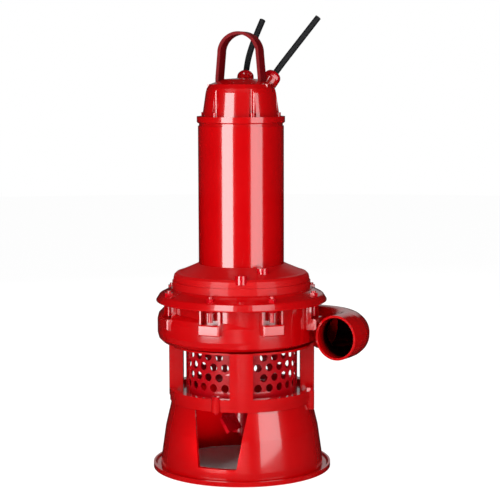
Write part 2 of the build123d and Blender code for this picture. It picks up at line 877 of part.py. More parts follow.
def cable(route):
    """A stiff cable stub on the cap: straight runs joined by arcs as large as they allow."""
    points = [Vector(*place) + Vector(0, 0, cap_top) for place in route]
    radii = []
    for before, corner, after in zip(points, points[1:], points[2:]):
        turn = (corner - before).get_angle(after - corner)
        run = min((corner - before).length, (after - corner).length)
        radii.append(cable_bend_share * run / math.tan(math.radians(turn) / 2))
    path = FilletPolyline(*points, radius=radii)
    start = Plane(points[0], z_dir=points[1] - points[0])
    tube = sweep(start * Circle(cable_diameter / 2), path=path)
    expected = math.pi * (cable_diameter / 2) ** 2 * path.length
    print("cable length", round(path.length, 1), "radii", [round(r) for r in radii],
          "volume share", round(tube.volume / expected, 4))
    return tube


def shaft():
    """Stepped shaft from the agitator to the upper bearing."""
    low = impeller_seat_bottom
    high = impeller_seat_top
    journal = lower_bearing_bottom
    shoulder = lower_bearing_top + shaft_shoulder
    body = turned(outline(
        (0, shaft_bottom), (shaft_stub_radius, shaft_bottom), (shaft_stub_radius, low),
        (impeller_seat_radius, low), (impeller_seat_radius, high), (seal_journal_radius, high),
        (seal_journal_radius, journal), (lower_bearing_journal_radius, journal),
        (lower_bearing_journal_radius, lower_bearing_top), (shaft_shoulder_radius, lower_bearing_top),
        (shaft_shoulder_radius, shoulder), (core_seat_radius, shoulder), (core_seat_radius, stator_top),
        (shaft_shoulder_radius - bearing_race, upper_bearing_bottom),
        (upper_bearing_journal_radius, upper_bearing_bottom), (upper_bearing_journal_radius, shaft_top),
        (0, shaft_top),
    ))
    keyway = Pos(impeller_seat_radius, 0, 0) * block(key_height, key_width, low, high)
    keyway = Pos(-key_height / 2, 0, 0) * keyway
    return body - keyway - peg(agitator_screw / 2, shaft_bottom, shaft_bottom + agitator_screw_depth)


def impeller_key():
    """Key that drives the impeller."""
    place = Pos(impeller_seat_radius - key_height / 2, 0, 0)
    return place * block(key_height, key_width, impeller_bottom, impeller_seat_top)


def impeller():
    """Semi-open impeller: a shroud above, a hub and five swept vanes facing the eye."""
    vane_top = impeller_top - impeller_shroud
    body = rod(impeller_radius, vane_top, impeller_top)
    body += rod(impeller_hub_radius, impeller_bottom, impeller_top)
    for number in range(vane_count):
        body += Rot(0, 0, number * 360 / vane_count) * vane(vane_top)
    body -= rod(impeller_seat_radius + seat_gap, 0, impeller_top + cut_over)
    key = Pos(impeller_seat_radius - key_height / 2, 0, 0)
    key *= block(key_height + seat_gap, key_width + 2 * seat_gap, 0, impeller_top + cut_over)
    return body - key


def vane(top):
    """One vane, swept back against the turning direction."""
    root = impeller_hub_radius - vane_thickness
    bow = (root + impeller_radius) * vane_bow_share

    def spot(radius, bearing):
        place = at(radius, bearing)
        return (place.X, place.Y)

    lead = ThreePointArc(spot(root, 0), spot(bow, vane_lean), spot(impeller_radius, vane_sweep))
    width = math.degrees(vane_thickness / impeller_radius)
    root_width = math.degrees(vane_thickness / root)
    bow_width = math.degrees(vane_thickness / bow)
    trail = ThreePointArc(
        spot(impeller_radius, vane_sweep + width), spot(bow, vane_lean + bow_width), spot(root, root_width),
    )
    tip = Line(spot(impeller_radius, vane_sweep), spot(impeller_radius, vane_sweep + width))
    heel = Line(spot(root, root_width), spot(root, 0))
    blade = extrude(make_face(lead + tip + trail + heel), top - impeller_bottom)
    return Pos(0, 0, impeller_bottom) * blade


def agitator():
    """Stirrer under the pump: a tapered hub with three pitched blades."""
    body = turned(outline(
        (0, agitator_bottom), (agitator_hub_radius, agitator_bottom),
        (agitator_hub_top_radius, agitator_top), (0, agitator_top),
    ))
    middle = (agitator_bottom + agitator_top) / 2
    blade = Pos(agitator_radius / 2, 0, middle) * Rot(blade_pitch, 0, 0)
    blade *= Box(agitator_radius, blade_thickness, blade_height)
    for number in range(blade_count):
        body += Rot(0, 0, number * 360 / blade_count) * blade
    body &= rod(agitator_radius, agitator_bottom, agitator_top)
    body -= peg(shaft_stub_radius + seat_gap, shaft_bottom, agitator_top + cut_over)
    return body - peg(agitator_screw / 2 + seat_gap, 0, shaft_bottom + cut_over)


def agitator_bolt():
    """Screw and washer that hold the agitator on the shaft's end."""
    low = agitator_bottom - agitator_washer
    screw = peg(agitator_screw_head / 2, low, agitator_bottom)
    screw += hex_head(agitator_screw_hex, agitator_screw_head_height, low - agitator_screw_head_height)
    return screw + peg(agitator_screw / 2 - seat_gap, low, shaft_bottom + agitator_screw_depth - cut_over)


def bearing_outer_rings():
    """Outer races of the lower and upper bearings."""
    lower = ring(lower_bearing_radius - seat_gap / 2, lower_bearing_radius - bearing_race,
                 lower_bearing_bottom, lower_bearing_top)
    upper = ring(upper_bearing_radius - seat_gap / 2, upper_bearing_radius - bearing_race,
                 upper_bearing_bottom, upper_bearing_top)
    return Compound([lower, upper])


def bearing_inner_rings():
    """Inner races, pressed on the shaft."""
    lower = ring(lower_bearing_journal_radius + bearing_race, lower_bearing_journal_radius,
                 lower_bearing_bottom, lower_bearing_top)
    upper = ring(upper_bearing_journal_radius + bearing_race, upper_bearing_journal_radius,
                 upper_bearing_bottom, upper_bearing_top)
    return Compound([lower, upper])


def ball_ring(bearing_radius, journal_radius, bottom, top):
    """Balls and their cage, drawn as one plain ring between the races."""
    return ring(bearing_radius - bearing_race - running_gap, journal_radius + bearing_race + running_gap,
                bottom + ball_cage_inset, top - ball_cage_inset)


def seal_stationary_rings():
    """Stationary faces of the double seal, in the cover and in the oil chamber."""
    bore = seal_journal_radius + running_gap
    low = cover_spigot_bottom + cover_web
    lower = ring(seal_face_radius, bore, low - 2 * seal_face, low + seal_face_sink)
    upper = ring(seal_face_radius + seal_face - seat_gap, bore, web_bottom, web_bottom + 2 * seal_face)
    return Compound([lower, upper])


def seal_rotating_rings():
    """Rotating faces of the double seal with the spring sleeve between them."""
    low = cover_spigot_bottom + cover_web + seal_face_sink + running_gap
    high = web_bottom - running_gap
    faces = ring(seal_face_radius, seal_journal_radius, low, high)
    return faces - ring(seal_face_radius + cut_over, seal_sleeve_radius, low + seal_face, high - seal_face)


def stator():
    """Laminated stator core, pressed into the tube, with its two coil ends."""
    core = ring(tube_bore, stator_bore, stator_bottom, stator_top)
    coil_outer = tube_bore - winding_inset
    coil_inner = stator_bore + winding_inset
    return core + ring(coil_outer, coil_inner, stator_bottom - winding_overhang,
                       stator_top + winding_overhang)


def rotor_core():
    """Laminated rotor core on the shaft, with the end rings of its cage."""
    ring_outer = rotor_radius - rotor_ring_inset
    core = ring(rotor_radius, core_seat_radius, stator_bottom, stator_top)
    return core + ring(ring_outer, core_seat_radius, stator_bottom - rotor_ring, stator_top + rotor_ring)


pieces = {
    "stand": stand(),
    "cage_screws": cage_screws(),
    "suction_cage": cage(),
    "strainer_screen": strainer(),
    "suction_plate": suction_cover(),
    "volute_casing": casing(),
    "discharge_elbow": elbow(),
    "casing_gasket": casing_seal(),
    "casing_cover": cover(),
    "casing_studs": casing_studs(),
    "casing_nuts": casing_nuts(),
    "oil_chamber": oil_chamber(),
    "shoulder_screws": shoulder_screws(),
    "oil_plug": oil_plug(),
    "motor_tube": motor_tube(),
    "bearing_bracket": bracket(),
    "cap": cap(),
    "cap_screws": cap_screws(),
    "lifting_handle": lifting_handle(),
    "handle_screws": handle_screws(),
    "gland_bodies": gland_bodies(),
    "gland_nuts": gland_nuts(),
    "gland_grommets": gland_grommets(),
    "power_cable": cable(power_cable_route),
    "control_cable": cable(control_cable_route),
    "bearing_outer_rings": bearing_outer_rings(),
    "seal_stationary_rings": seal_stationary_rings(),
    "stator": stator(),
    "shaft": shaft(),
    "impeller_key": impeller_key(),
    "impeller": impeller(),
    "agitator": agitator(),
    "agitator_bolt": agitator_bolt(),
    "bearing_inner_rings": bearing_inner_rings(),
    "seal_rotating_rings": seal_rotating_rings(),
    "rotor_core": rotor_core(),
    "lower_ball_ring": ball_ring(lower_bearing_radius, lower_bearing_journal_radius,
                                 lower_bearing_bottom, lower_bearing_top),
    "upper_ball_ring": ball_ring(upper_bearing_radius, upper_bearing_journal_radius,
                                 upper_bearing_bottom, upper_bearing_top),
}

os.makedirs("parts", exist_ok=True)
for node, shape in pieces.items():
    export_step(shape, os.path.join("parts", node + ".step"))
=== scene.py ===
import math

import bmesh
import bpy
from mathutils import Matrix, Vector


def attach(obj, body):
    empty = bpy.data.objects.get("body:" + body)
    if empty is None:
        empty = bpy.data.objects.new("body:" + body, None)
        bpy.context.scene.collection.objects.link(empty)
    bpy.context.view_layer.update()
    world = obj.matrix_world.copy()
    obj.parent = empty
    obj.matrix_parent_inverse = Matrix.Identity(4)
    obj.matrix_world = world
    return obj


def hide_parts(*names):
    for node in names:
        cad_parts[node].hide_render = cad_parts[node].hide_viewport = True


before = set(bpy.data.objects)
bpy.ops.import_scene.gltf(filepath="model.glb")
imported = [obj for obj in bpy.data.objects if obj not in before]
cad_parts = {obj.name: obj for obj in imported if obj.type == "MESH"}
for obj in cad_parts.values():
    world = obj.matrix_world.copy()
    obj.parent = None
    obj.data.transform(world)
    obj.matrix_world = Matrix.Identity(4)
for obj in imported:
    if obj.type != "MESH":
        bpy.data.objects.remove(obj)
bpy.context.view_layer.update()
scene = bpy.context.scene
scene.view_settings.view_transform = "Standard"

# Camera: a long lens almost four metres in front of the pump, about as high as its cap and
# looking slightly down, as in the photograph.
camera_data = bpy.data.cameras.new("camera")
camera_data.lens = 109.6
camera_data.sensor_width = 36
camera = bpy.data.objects.new("camera", camera_data)
look_down = math.radians(6.6)
roll = math.radians(0.15)
camera.location = (0.0235, -3.891, 1.013)
camera.rotation_euler = (math.pi / 2 - look_down, roll, 0)
scene.collection.objects.link(camera)
scene.camera = camera


# Studio: two tall soft boxes in front, left and right, give the two streaks down the tube, and
# two smaller ones lean in above them. The fills are matt: one high and one low in front, one
# behind, and a small narrow one that shines in at the window of the stand.
def soft_box(name, bearing, distance, lift, width, height, tilt, power, mirrored=True):
    lamp = bpy.data.lights.new(name, "AREA")
    lamp.shape = "RECTANGLE"
    lamp.size = width
    lamp.size_y = height
    lamp.energy = power
    box = bpy.data.objects.new(name, lamp)
    turn = math.radians(bearing)
    box.location = (distance * math.sin(turn), -distance * math.cos(turn), lift)
    box.rotation_euler = (math.radians(90 - tilt), 0, turn)
    box.visible_camera = False
    box.visible_glossy = mirrored
    scene.collection.objects.link(box)
    return box


soft_box("left_soft_box", bearing=-35.5, distance=1.8, lift=0.92,
         width=0.95, height=1.66, tilt=0, power=28)
soft_box("right_soft_box", bearing=41.5, distance=1.8, lift=0.765,
         width=1.04, height=1.35, tilt=0, power=11.2)
soft_box("left_top_box", bearing=-30, distance=1.3, lift=2.1,
         width=0.8, height=0.5, tilt=52, power=5.5)
soft_box("right_top_box", bearing=36, distance=1.3, lift=2.1,
         width=0.9, height=0.5, tilt=52, power=2.6)
soft_box("high_fill", bearing=20, distance=2.6, lift=2.6,
         width=2.4, height=1.6, tilt=40, power=31, mirrored=False)
soft_box("low_fill", bearing=0, distance=1.5, lift=0.16,
         width=0.3, height=0.2, tilt=0, power=6, mirrored=False)
soft_box("back_fill", bearing=195, distance=2.8, lift=1.9,
         width=2.4, height=1.6, tilt=28, power=45, mirrored=False)
window_fill = soft_box("window_fill", bearing=6, distance=0.6, lift=0.06,
                       width=0.08, height=0.05, tilt=-3, power=0.05, mirrored=False)
window_fill.location.x -= 0.085
window_fill.data.spread = math.radians(16)

# Room: white to the camera and dim to light that is scattered. In the gloss of the enamel it is
# nearly black, apart from one lit panel high up behind the pump.
world = bpy.data.worlds.new("studio_room")
scene.world = world
world.use_nodes = True
tree = world.node_tree
tree.nodes.clear()
room = tree.nodes.new("ShaderNodeOutputWorld")
seen_room = tree.nodes.new("ShaderNodeBackground")
dim_room = tree.nodes.new("ShaderNodeBackground")
rays = tree.nodes.new("ShaderNodeLightPath")
mirrored_rays = tree.nodes.new("ShaderNodeMath")
mirrored_rays.operation = "MAXIMUM"
seen_rays = tree.nodes.new("ShaderNodeMath")
seen_rays.operation = "MAXIMUM"
heading = tree.nodes.new("ShaderNodeTexCoord")
panel_aim = tree.nodes.new("ShaderNodeVectorMath")
panel_aim.operation = "DOT_PRODUCT"
panel_aim.inputs[1].default_value = (0.1, 0.95, 0.29)
panel = tree.nodes.new("ShaderNodeMapRange")
panel.inputs["From Min"].default_value = 0.96
panel.inputs["From Max"].default_value = 0.985
panel.inputs["To Min"].default_value = 0.01
panel.inputs["To Max"].default_value = 0.35
plain_white = tree.nodes.new("ShaderNodeMix")
plain_white.data_type = "FLOAT"
plain_white.inputs["B"].default_value = 1.0
blend = tree.nodes.new("ShaderNodeMixShader")
seen_room.inputs["Color"].default_value = (1, 1, 1, 1)
dim_room.inputs["Color"].default_value = (1, 1, 1, 1)
dim_room.inputs["Strength"].default_value = 0.13
tree.links.new(rays.outputs["Is Glossy Ray"], mirrored_rays.inputs[0])
tree.links.new(rays.outputs["Is Transmission Ray"], mirrored_rays.inputs[1])
tree.links.new(mirrored_rays.outputs[0], seen_rays.inputs[0])
tree.links.new(rays.outputs["Is Camera Ray"], seen_rays.inputs[1])
tree.links.new(heading.outputs["Generated"], panel_aim.inputs[0])
tree.links.new(panel_aim.outputs["Value"], panel.inputs["Value"])
tree.links.new(panel.outputs["Result"], plain_white.inputs["A"])
tree.links.new(rays.outputs["Is Camera Ray"], plain_white.inputs["Factor"])
tree.links.new(plain_white.outputs["Result"], seen_room.inputs["Strength"])
tree.links.new(seen_rays.outputs[0], blend.inputs["Fac"])
tree.links.new(dim_room.outputs[0], blend.inputs[1])
tree.links.new(seen_room.outputs[0], blend.inputs[2])
tree.links.new(blend.outputs[0], room.inputs["Surface"])

# Floor: a wide pale sheet that keeps a faint shadow of the pump and fades into the backdrop.
# It is dark in the gloss of the enamel, like the room.
floor_mesh = bmesh.new()
bmesh.ops.create_circle(floor_mesh, cap_ends=True, radius=9, segments=96)
floor_data = bpy.data.meshes.new("floor")
floor_mesh.to_mesh(floor_data)
floor_mesh.free()
floor = bpy.data.objects.new("floor", floor_data)
scene.collection.objects.link(floor)
floor_paint = bpy.data.materials.new("pale_floor")
floor_paint.use_nodes = True
tree = floor_paint.node_tree
tree.nodes.clear()
matt = tree.nodes.new("ShaderNodeBsdfDiffuse")
pale = tree.nodes.new("ShaderNodeMix")
pale.data_type = "RGBA"
pale.inputs["A"].default_value = (0.8, 0.8, 0.8, 1)
pale.inputs["B"].default_value = (0.01, 0.01, 0.01, 1)
where = tree.nodes.new("ShaderNodeTexCoord")
reach = tree.nodes.new("ShaderNodeVectorMath")
reach.operation = "LENGTH"
beyond_stand = tree.nodes.new("ShaderNodeMapRange")
beyond_stand.inputs["From Min"].default_value = 0.2
beyond_stand.inputs["From Max"].default_value = 0.23
beyond_stand.inputs["To Max"].default_value = 0.8
white = tree.nodes.new("ShaderNodeEmission")
white.inputs["Color"].default_value = (1, 1, 1, 1)
white.inputs["Strength"].default_value = 1.2
rays = tree.nodes.new("ShaderNodeLightPath")
fade = tree.nodes.new("ShaderNodeMath")
fade.operation = "MULTIPLY"
mixed = tree.nodes.new("ShaderNodeMixShader")
out = tree.nodes.new("ShaderNodeOutputMaterial")
tree.links.new(rays.outputs["Is Glossy Ray"], pale.inputs["Factor"])
tree.links.new(pale.outputs["Result"], matt.inputs["Color"])
tree.links.new(where.outputs["Object"], reach.inputs[0])
tree.links.new(reach.outputs["Value"], beyond_stand.inputs["Value"])
tree.links.new(rays.outputs["Is Camera Ray"], fade.inputs[0])
tree.links.new(beyond_stand.outputs["Result"], fade.inputs[1])
tree.links.new(fade.outputs[0], mixed.inputs["Fac"])
tree.links.new(matt.outputs[0], mixed.inputs[1])
tree.links.new(white.outputs[0], mixed.inputs[2])
tree.links.new(mixed.outputs[0], out.inputs["Surface"])
floor_data.materials.append(floor_paint)


# Stand and suction cage: iron castings, bolted together and sprayed with thick red enamel. The
# paint lies softly over the sand texture of a casting and has a fine orange peel of its own.
def enamel(name, colour, roughness, peel, sand, coat=1.0):
    paint = bpy.data.materials.new(name)
    paint.use_nodes = True
    tree = paint.node_tree
    skin = tree.nodes["Principled BSDF"]
    skin.inputs["IOR"].default_value = 1.5
    skin.inputs["Coat Weight"].default_value = coat
    skin.inputs["Coat IOR"].default_value = 1.7
    skin.inputs["Coat Roughness"].default_value = 0.06
    where = tree.nodes.new("ShaderNodeTexCoord")
    cloud = tree.nodes.new("ShaderNodeTexNoise")
    cloud.inputs["Scale"].default_value = 9
    cloud.inputs["Detail"].default_value = 5
    tint = tree.nodes.new("ShaderNodeMix")
    tint.data_type = "RGBA"
    tint.inputs["A"].default_value = (colour[0] * 0.86, colour[1], colour[2], 1)
    tint.inputs["B"].default_value = (colour[0] * 1.06, colour[1] * 1.3, colour[2] * 1.2, 1)
    rough = tree.nodes.new("ShaderNodeMapRange")
    rough.inputs["To Min"].default_value = roughness * 0.75
    rough.inputs["To Max"].default_value = roughness * 1.35
    orange_peel = tree.nodes.new("ShaderNodeTexNoise")
    orange_peel.inputs["Scale"].default_value = 260
    orange_peel.inputs["Detail"].default_value = 2
    cast_sand = tree.nodes.new("ShaderNodeTexNoise")
    cast_sand.inputs["Scale"].default_value = 70
    cast_sand.inputs["Detail"].default_value = 6
    sand_relief = tree.nodes.new("ShaderNodeBump")
    sand_relief.inputs["Strength"].default_value = 1
    sand_relief.inputs["Distance"].default_value = sand
    peel_relief = tree.nodes.new("ShaderNodeBump")
    peel_relief.inputs["Strength"].default_value = 1
    peel_relief.inputs["Distance"].default_value = peel
    for texture in (cloud, orange_peel, cast_sand):
        tree.links.new(where.outputs["Object"], texture.inputs["Vector"])
    tree.links.new(cloud.outputs["Fac"], tint.inputs["Factor"])
    tree.links.new(cloud.outputs["Fac"], rough.inputs["Value"])
    tree.links.new(tint.outputs["Result"], skin.inputs["Base Color"])
    tree.links.new(rough.outputs["Result"], skin.inputs["Roughness"])
    tree.links.new(cast_sand.outputs["Fac"], sand_relief.inputs["Height"])
    tree.links.new(orange_peel.outputs["Fac"], peel_relief.inputs["Height"])
    tree.links.new(sand_relief.outputs["Normal"], peel_relief.inputs["Normal"])
    tree.links.new(peel_relief.outputs["Normal"], skin.inputs["Normal"])
    return paint


def paint_nodes(material, *names):
    for name in names:
        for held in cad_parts[name].material_slots:
            held.material = material


red = (0.46, 0.0, 0.001)
cast_enamel = enamel("cast_enamel", red, roughness=0.2, peel=0.000012, sand=0.00012)
screw_enamel = enamel("screw_enamel", (0.48, 0.0, 0.004), roughness=0.2, peel=0.00003,
                      sand=0.0001)
paint_nodes(cast_enamel, "stand", "suction_cage")
paint_nodes(screw_enamel, "cage_screws")


# Strainer: a steel sheet punched with four staggered rows of round holes, rolled to a drum and
# held inside the cage. Its two ends meet behind the front strap, where it is left blank.
def finished(name, mesh, body, material, replaced):
    bmesh.ops.recalc_face_normals(mesh, faces=mesh.faces)
    data = bpy.data.meshes.new(name)
    mesh.to_mesh(data)
    mesh.free()
    data.materials.append(material)
    piece = bpy.data.objects.new(name, data)
    scene.collection.objects.link(piece)
    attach(piece, body)
    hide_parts(*replaced)
    return piece


sheet_radius = 0.144
sheet_bottom, sheet_top = 0.197, 0.317
hole_radius = 0.0102
rows = 4
row_height = 0.0262
lowest_row = 0.228
first_hole, last_hole = math.radians(16.7), math.radians(343.3)
steps_round = 26
pitch = (last_hole - first_hole) / steps_round
half_width = pitch * sheet_radius / 2
peak = row_height / 2 + half_width ** 2 / (2 * row_height)
flank = row_height - peak


def rolled(turn, height):
    return (sheet_radius * math.sin(turn), -sheet_radius * math.cos(turn), height)


sheet = bmesh.new()
blank_edge = []
for row in range(rows):
    middle = lowest_row + row * row_height
    low_peak, low_flank, high_flank, high_peak = -peak, -flank, flank, peak
    if row == 0:
        low_peak = low_flank = sheet_bottom - middle
    if row == rows - 1:
        high_flank = high_peak = sheet_top - middle
    staggered = row % 2
    first_centre = first_hole + staggered * pitch / 2
    blank_edge += [(first_centre - pitch / 2, middle + low_flank),
                   (first_centre - pitch / 2, middle + high_flank)]
    # One six-sided cell of the sheet lies flat with its hole in it, and is rolled and repeated.
    outline = ((-half_width, low_flank), (0, low_peak), (half_width, low_flank),
               (half_width, high_flank), (0, high_peak), (-half_width, high_flank))
    cell = bmesh.ops.create_circle(sheet, segments=6, radius=half_width)["verts"]
    for corner, (across, up) in zip(cell, outline):
        corner.co = (across, up, 0)
    sides = [edge for edge in sheet.edges if edge.is_wire]
    bmesh.ops.subdivide_edges(sheet, edges=sides, cuts=3)
    sides = [edge for edge in sheet.edges if edge.is_wire]
    web = bmesh.ops.extrude_edge_only(sheet, edges=sides)["geom"]
    for point in web:
        if isinstance(point, bmesh.types.BMVert):
            point.co *= hole_radius / point.co.length
    faces = [face for face in web if isinstance(face, bmesh.types.BMFace)]
    for point in {point for face in faces for point in face.verts}:
        point.co = rolled(first_centre + point.co.x / sheet_radius, middle + point.co.y)
    copies = steps_round - staggered
    bmesh.ops.spin(sheet, geom=faces, cent=(0, 0, 0), axis=(0, 0, 1), angle=copies * pitch,
                   steps=copies, use_duplicate=True)
blank = bmesh.ops.create_grid(sheet, x_segments=8, y_segments=len(blank_edge) - 1, size=1)
for point in blank["verts"]:
    turn, height = blank_edge[round((point.co.y + 1) / 2 * (len(blank_edge) - 1))]
    point.co = rolled(turn * point.co.x, height)
bmesh.ops.remove_doubles(sheet, verts=sheet.verts, dist=0.00002)
sheet_enamel = enamel("sheet_enamel", (0.42, 0.0, 0.004), roughness=0.24, peel=0.00003, sand=0)
strainer = finished("punched_strainer", sheet, "pump", sheet_enamel,
                    ["strainer_screen"])
thickness = strainer.modifiers.new("sheet_thickness", "SOLIDIFY")
thickness.thickness = 0.003
thickness.offset = -1

# Wear parts: suction plate, impeller and agitator, cast in hard iron and sprayed with the rest.
# Their paint is rougher. They show only through the window and the holes of the strainer.
wear_enamel = enamel("wear_enamel", (0.42, 0.0, 0.004), roughness=0.28, peel=0.00003,
                     sand=0.0004)
paint_nodes(wear_enamel, "suction_plate", "impeller", "agitator", "agitator_bolt")

# Pump casing: an iron casting with eight bosses, and a stud and nut in each of them.
# It has the enamel of the other castings.
paint_nodes(cast_enamel, "volute_casing")
paint_nodes(screw_enamel, "casing_studs", "casing_nuts")

# Elbow: a steel bend, sprayed red. Deeper in the bore the colour is painted nearly black and the
# gloss coat is taken away there. This is painted shade for the dark inside of the bend.
bend_centre = (0.17085, -0.04537, 0.355)
bend_radius = 0.1
bore_radius = 0.054
pipe_side = (0.8387, -0.5446, 0)
pipe_inward = (0.5446, 0.8387, 0)
red_to, shade_from = -0.028, -0.004
elbow_enamel = enamel("elbow_enamel", red, roughness=0.16, peel=0.000008, sand=0)
tree = elbow_enamel.node_tree
skin = tree.nodes["Principled BSDF"]
painted = skin.inputs["Base Color"].links[0].from_socket
where = tree.nodes.new("ShaderNodeTexCoord")
offset = tree.nodes.new("ShaderNodeVectorMath")
offset.operation = "SUBTRACT"
offset.inputs[1].default_value = bend_centre
sideways = tree.nodes.new("ShaderNodeVectorMath")
sideways.operation = "DOT_PRODUCT"
sideways.inputs[1].default_value = pipe_side
inward = tree.nodes.new("ShaderNodeVectorMath")
inward.operation = "DOT_PRODUCT"
inward.inputs[1].default_value = pipe_inward
upward = tree.nodes.new("ShaderNodeSeparateXYZ")
past_straight = tree.nodes.new("ShaderNodeMath")
past_straight.operation = "MAXIMUM"
past_straight.inputs[1].default_value = 0
in_plan = tree.nodes.new("ShaderNodeCombineXYZ")
in_plan_reach = tree.nodes.new("ShaderNodeVectorMath")
in_plan_reach.operation = "LENGTH"
off_line = tree.nodes.new("ShaderNodeMath")
off_line.operation = "SUBTRACT"
off_line.inputs[1].default_value = bend_radius
across = tree.nodes.new("ShaderNodeCombineXYZ")
across_reach = tree.nodes.new("ShaderNodeVectorMath")
across_reach.operation = "LENGTH"
bore = tree.nodes.new("ShaderNodeMath")
bore.operation = "LESS_THAN"
bore.inputs[1].default_value = bore_radius
depth = tree.nodes.new("ShaderNodeMapRange")
depth.inputs["From Min"].default_value = red_to
depth.inputs["From Max"].default_value = shade_from
bore_shade_mask = tree.nodes.new("ShaderNodeMath")
bore_shade_mask.operation = "MULTIPLY"
# Painted shade: inside the bore the colour turns nearly black away from the mouth, and the gloss
# coat fades out with it.
painted_bore_shade = tree.nodes.new("ShaderNodeMix")
painted_bore_shade.data_type = "RGBA"
painted_bore_shade.inputs["B"].default_value = (0.004, 0.001, 0.001, 1)
coat_outside_shade = tree.nodes.new("ShaderNodeMath")
coat_outside_shade.operation = "SUBTRACT"
coat_outside_shade.inputs[0].default_value = 1
tree.links.new(where.outputs["Object"], offset.inputs[0])
tree.links.new(offset.outputs[0], sideways.inputs[0])
tree.links.new(offset.outputs[0], inward.inputs[0])
tree.links.new(offset.outputs[0], upward.inputs[0])
tree.links.new(inward.outputs["Value"], past_straight.inputs[0])
tree.links.new(sideways.outputs["Value"], in_plan.inputs["X"])
tree.links.new(past_straight.outputs[0], in_plan.inputs["Y"])
tree.links.new(in_plan.outputs[0], in_plan_reach.inputs[0])
tree.links.new(in_plan_reach.outputs["Value"], off_line.inputs[0])
tree.links.new(off_line.outputs[0], across.inputs["X"])
tree.links.new(upward.outputs["Z"], across.inputs["Y"])
tree.links.new(across.outputs[0], across_reach.inputs[0])
tree.links.new(across_reach.outputs["Value"], bore.inputs[0])
tree.links.new(inward.outputs["Value"], depth.inputs["Value"])
tree.links.new(bore.outputs[0], bore_shade_mask.inputs[0])
tree.links.new(depth.outputs["Result"], bore_shade_mask.inputs[1])
tree.links.new(bore_shade_mask.outputs[0], painted_bore_shade.inputs["Factor"])
tree.links.new(painted, painted_bore_shade.inputs["A"])
tree.links.new(painted_bore_shade.outputs["Result"], skin.inputs["Base Color"])
tree.links.new(bore_shade_mask.outputs[0], coat_outside_shade.inputs[1])
tree.links.new(coat_outside_shade.outputs[0], skin.inputs["Coat Weight"])
paint_nodes(elbow_enamel, "discharge_elbow")


# Casing cover: a cast plate, machined round, that closes the pump chamber. Its rim has a rounded
# edge, a sloping face, and a small lip that hangs over the casing. The studs come up inside it.
def turned(profile, steps):
    solid = bmesh.new()
    corners = [solid.verts.new((radius / 1000, 0, height / 1000)) for radius, height in profile]
    loop = [solid.edges.new(ends) for ends in zip(corners, corners[1:] + corners[:1])]
    bmesh.ops.spin(solid, geom=corners + loop, cent=(0, 0, 0), axis=(0, 0, 1),
                   angle=2 * math.pi, steps=steps, use_merge=True)
    bmesh.ops.remove_doubles(solid, verts=solid.verts, dist=0.00001)
    return solid


cover_in_mm = (
    (40, 404), (149.5, 404), (149.5, 439), (215.8, 439), (215.8, 434.6), (217.4, 433.4),
    (219.6, 434.8), (219.9, 437.4), (212, 450.4), (209.4, 452.6),
    (184, 465.2), (180.6, 468), (178.2, 468), (178.2, 453), (120, 453), (120, 420), (40, 420),
)
cover = turned(cover_in_mm, steps=144)
finished("cover_plate", cover, "pump", cast_enamel, ["casing_cover"])

# Shoulder: the cast oil chamber between the casing and the motor, with its screws and its plug.
# Its enamel came out satin, so it mirrors less than the tube above it.
shoulder_enamel = enamel("shoulder_enamel", red, roughness=0.42, peel=0.000012, sand=0.00012,
                         coat=0.15)
shoulder_skin = shoulder_enamel.node_tree.nodes["Principled BSDF"]
shoulder_skin.inputs["Specular IOR Level"].default_value = 0.25
paint_nodes(shoulder_enamel, "oil_chamber")
paint_nodes(screw_enamel, "shoulder_screws", "oil_plug")

# Motor tube: smooth drawn steel pipe, clamped between the shoulder and the cap. The enamel is
# glossiest here and has only a trace of orange peel.
tube_enamel = enamel("tube_enamel", red, roughness=0.16, peel=0.000008, sand=0)
paint_nodes(tube_enamel, "motor_tube")

# Cap: a casting with a pocket for each of its six screws. It closes the tube and carries the two
# cable glands. The bearing bracket below it is a casting too.
paint_nodes(cast_enamel, "bearing_bracket", "cap", "gland_bodies")
paint_nodes(screw_enamel, "cap_screws")

# Handle: flat steel bar, bent to a bail and screwed to the cap. It is darker and nearly matt,
# and so are its screws.
bar_enamel = enamel("bar_enamel", (0.16, 0.0, 0.002), roughness=0.55, peel=0.000002, sand=0,
                    coat=0)
bar_skin = bar_enamel.node_tree.nodes["Principled BSDF"]
bar_skin.inputs["Specular IOR Level"].default_value = 0.15
paint_nodes(bar_enamel, "lifting_handle", "handle_screws")

# Gland nuts: turned brass with a domed top that the cable comes out of. Six flats are milled on
# each, and the nuts are painted over in place.
nut_in_mm = (
    (9.6, 6.3), (11.5, 6), (14.6, 4.6), (17.4, 2.4), (19.4, -0.2), (20.9, -3), (22, -7),
    (22.6, -11), (20.2, -14), (9.6, -14),
)
middle_to_flat = 0.0206
sixth = math.pi / 3


def gland_nut(name, middle, along, replaced):
    nut = turned(nut_in_mm, steps=48)
    for point in nut.verts:
        turn = math.atan2(point.co.y, point.co.x)
        past_flat = (turn + sixth / 2) % sixth - sixth / 2
        flat = middle_to_flat / math.cos(past_flat)
        point.co.xy *= min(1, flat / point.co.xy.length)
    aim = Vector(along).to_track_quat("Z", "Y").to_matrix().to_4x4()
    bmesh.ops.transform(nut, matrix=Matrix.Translation(middle) @ aim, verts=nut.verts)
    finished(name, nut, "pump", screw_enamel, replaced)


gland_nut("power_gland_nut", (0.0853, 0.0294, 1.011), (0.569, 0.196, 0.7986), ["gland_nuts"])
gland_nut("control_gland_nut", (0.0126, 0.0893, 1.011), (0.0838, 0.596, 0.7986), ["gland_nuts"])


